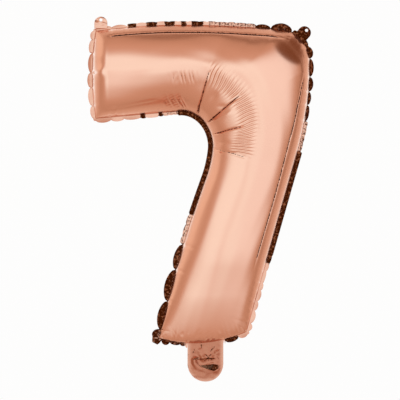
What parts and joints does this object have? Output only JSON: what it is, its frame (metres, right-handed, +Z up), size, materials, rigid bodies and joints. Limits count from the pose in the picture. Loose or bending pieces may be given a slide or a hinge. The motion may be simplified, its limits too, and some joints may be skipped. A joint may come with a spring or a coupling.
{
  "type": "foil number balloon",
  "caption": "Inflated foil balloon in the shape of the digit seven, with a welded seam flange, two punched hanging tabs and a flat filling tail with a self-closing valve.",
  "frame": {"origin": "in the seam plane, midway between the centres of the two punched hanging holes; this is where the line it hangs from carries it", "axes": "+X to the right of someone reading the digit, +Y from the front panel to the back panel, +Z up along the digit's height"},
  "size_m": [0.2184, 0.0798, 0.351],
  "materials": {
    "foil": "rose-gold metallised film, satin to glossy",
    "foil_reverse": "rose-gold metallised film, satin to glossy, on the back of the figure",
    "weld": "heat-fused sealant, seen only at the cut edge",
    "valve_film": "clear polyethylene film",
    "release_coat": "thin matt heat-resistant print"
  },
  "bodies": {
    "balloon": {"front_panel": "foil", "back_panel": "foil_reverse", "perimeter_weld": "weld", "valve_front_ply": "valve_film", "valve_back_ply": "valve_film", "valve_release_coat": "release_coat"},
    "tail": {"tail_front_film": "foil", "tail_back_film": "foil_reverse", "tail_weld": "weld", "valve_mouth_front_ply": "valve_film", "valve_mouth_back_ply": "valve_film"},
    "left_tab": {"left_hanging_tab": "foil"},
    "right_tab": {"right_hanging_tab": "foil"}
  },
  "joints": [
    {"name": "tail_fold", "type": "hinge", "parent": "balloon", "child": "tail", "pos_m": [0.0016, 0, -0.31175], "axis": [1, 0, 0], "range_deg": [-110, 110]},
    {"name": "left_tab_fold", "type": "hinge", "parent": "balloon", "child": "left_tab", "pos_m": [-0.0989, 0, 0.00046], "axis": [1, 0, 0], "range_deg": [-110, 110]},
    {"name": "right_tab_fold", "type": "hinge", "parent": "balloon", "child": "right_tab", "pos_m": [0.09585, 0, -0.00839], "axis": [0.7431, 0, -0.6691], "range_deg": [-110, 110]}
  ]
}
